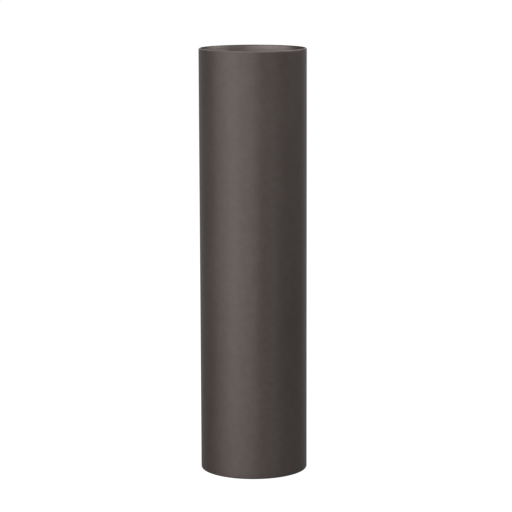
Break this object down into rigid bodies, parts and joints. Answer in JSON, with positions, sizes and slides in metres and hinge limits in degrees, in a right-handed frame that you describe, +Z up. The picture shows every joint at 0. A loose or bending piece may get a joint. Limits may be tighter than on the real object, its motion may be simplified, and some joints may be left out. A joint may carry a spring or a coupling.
{
  "type": "cylinder vase",
  "caption": "Tall straight-sided cylinder vase of moulded glass with a round fire-polished rim, a thick base and a satin lacquered outside.",
  "frame": {"origin": "centre of the underside, on the plane that the vase stands on", "axes": "+Z up along the vase's axis; the vase is round, so +X and +Y are any two level directions"},
  "size_m": [0.1008, 0.1008, 0.4],
  "materials": {
    "glass": "clear moulded glass, glossy inside, fire-polished rim",
    "satin_lacquer": "opaque dark taupe-grey sprayed lacquer, satin"
  },
  "bodies": {
    "root": {"glass_body": "glass", "wall_lacquer_coat": "satin_lacquer", "base_lacquer_coat": "satin_lacquer"}
  },
  "joints": []
}
